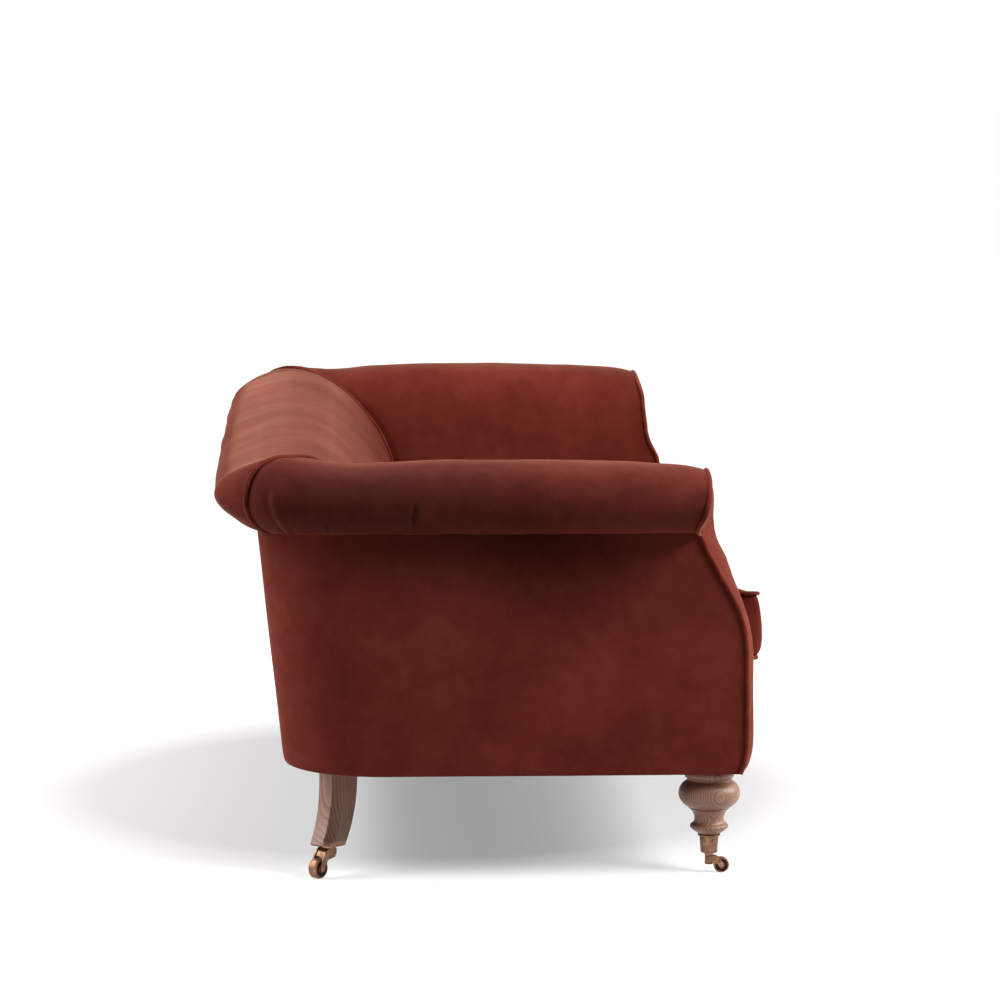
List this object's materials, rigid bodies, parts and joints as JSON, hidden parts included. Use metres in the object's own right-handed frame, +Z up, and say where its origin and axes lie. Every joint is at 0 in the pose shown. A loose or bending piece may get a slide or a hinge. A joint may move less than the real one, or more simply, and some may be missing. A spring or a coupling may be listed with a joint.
{
  "type": "sofa",
  "caption": "Low-back scroll-arm sofa in rust velvet with piped edges, loose seat cushions, turned oak front legs, swept rear legs and brass castors.",
  "frame": {"origin": "on the floor, under the centre of the sofa's box", "axes": "+X along the length, front faces -Y, +Z up"},
  "size_m": [2.108, 0.984, 0.7562],
  "materials": {
    "beech_frame": "sawn",
    "plywood_rib": "sawn",
    "webbing": "woven",
    "stuffing": "felted",
    "velvet": "cut pile",
    "velvet_piping": "cut pile over cord",
    "under_cloth": "plain weave",
    "oak_leg": "weathered, waxed",
    "steel": "plain",
    "brass": "antique"
  },
  "bodies": {
    "root": {"front_rail": "beech_frame", "rear_rail": "beech_frame", "side_rails": "beech_frame", "corner_rails": "beech_frame", "cross_rails": "beech_frame", "front_leg_blocks": "beech_frame", "corner_posts": "beech_frame", "arm_posts": "beech_frame", "arm_top_rails": "beech_frame", "back_top_rail": "beech_frame", "corner_bends": "beech_frame", "arm_stay_rails": "beech_frame", "scroll_boards": "beech_frame", "back_ribs": "plywood_rib", "seat_webbing": "webbing", "cross_webbing": "webbing", "back_webbing": "webbing", "arm_webbing": "webbing", "back_pad": "stuffing", "arm_pads": "stuffing", "seat_platform": "stuffing", "back_cover": "velvet", "arm_covers": "velvet", "outside_cover": "velvet", "front_border": "velvet", "arm_facings": "velvet", "facing_piping": "velvet_piping", "mitre_piping": "velvet_piping", "dust_cover": "under_cloth", "front_legs": "oak_leg", "rear_legs": "oak_leg", "leg_bolts": "steel", "front_castor_cups": "brass", "rear_castor_plates": "brass"},
    "front_left_castor": {"front_left_castor_horn": "brass"},
    "front_left_wheel": {"front_left_castor_wheel": "brass"},
    "front_right_castor": {"front_right_castor_horn": "brass"},
    "front_right_wheel": {"front_right_castor_wheel": "brass"},
    "rear_left_castor": {"rear_left_castor_horn": "brass"},
    "rear_left_wheel": {"rear_left_castor_wheel": "brass"},
    "rear_right_castor": {"rear_right_castor_horn": "brass"},
    "rear_right_wheel": {"rear_right_castor_wheel": "brass"},
    "left_cushion": {"seat_cushion_left": "velvet"},
    "right_cushion": {"seat_cushion_right": "velvet"}
  },
  "joints": [
    {"name": "front_left_swivel", "type": "hinge", "parent": "root", "child": "front_left_castor", "pos_m": [-0.908, -0.39, 0.0359], "axis": [0, 0, 1], "continuous": true},
    {"name": "front_left_wheel_roll", "type": "hinge", "parent": "front_left_castor", "child": "front_left_wheel", "pos_m": [-0.908, -0.412, 0.014], "axis": [1, 0, 0], "continuous": true},
    {"name": "front_right_swivel", "type": "hinge", "parent": "root", "child": "front_right_castor", "pos_m": [0.908, -0.39, 0.0359], "axis": [0, 0, 1], "continuous": true},
    {"name": "front_right_wheel_roll", "type": "hinge", "parent": "front_right_castor", "child": "front_right_wheel", "pos_m": [0.908, -0.412, 0.014], "axis": [1, 0, 0], "continuous": true},
    {"name": "rear_left_swivel", "type": "hinge", "parent": "root", "child": "rear_left_castor", "pos_m": [-0.91032, 0.29024, 0.0544], "axis": [0, 0, 1], "continuous": true},
    {"name": "rear_left_wheel_roll", "type": "hinge", "parent": "rear_left_castor", "child": "rear_left_wheel", "pos_m": [-0.93254, 0.30824, 0.018], "axis": [-0.6293, -0.7771, 0], "continuous": true},
    {"name": "rear_right_swivel", "type": "hinge", "parent": "root", "child": "rear_right_castor", "pos_m": [0.91032, 0.29024, 0.0544], "axis": [0, 0, 1], "continuous": true},
    {"name": "rear_right_wheel_roll", "type": "hinge", "parent": "rear_right_castor", "child": "rear_right_wheel", "pos_m": [0.93254, 0.30824, 0.018], "axis": [-0.6293, 0.7771, 0], "continuous": true},
    {"name": "left_cushion_lift", "type": "slide", "parent": "root", "child": "left_cushion", "axis": [0, 0, 1], "range_m": [0, 0.3]},
    {"name": "right_cushion_lift", "type": "slide", "parent": "root", "child": "right_cushion", "axis": [0, 0, 1], "range_m": [0, 0.3]}
  ]
}
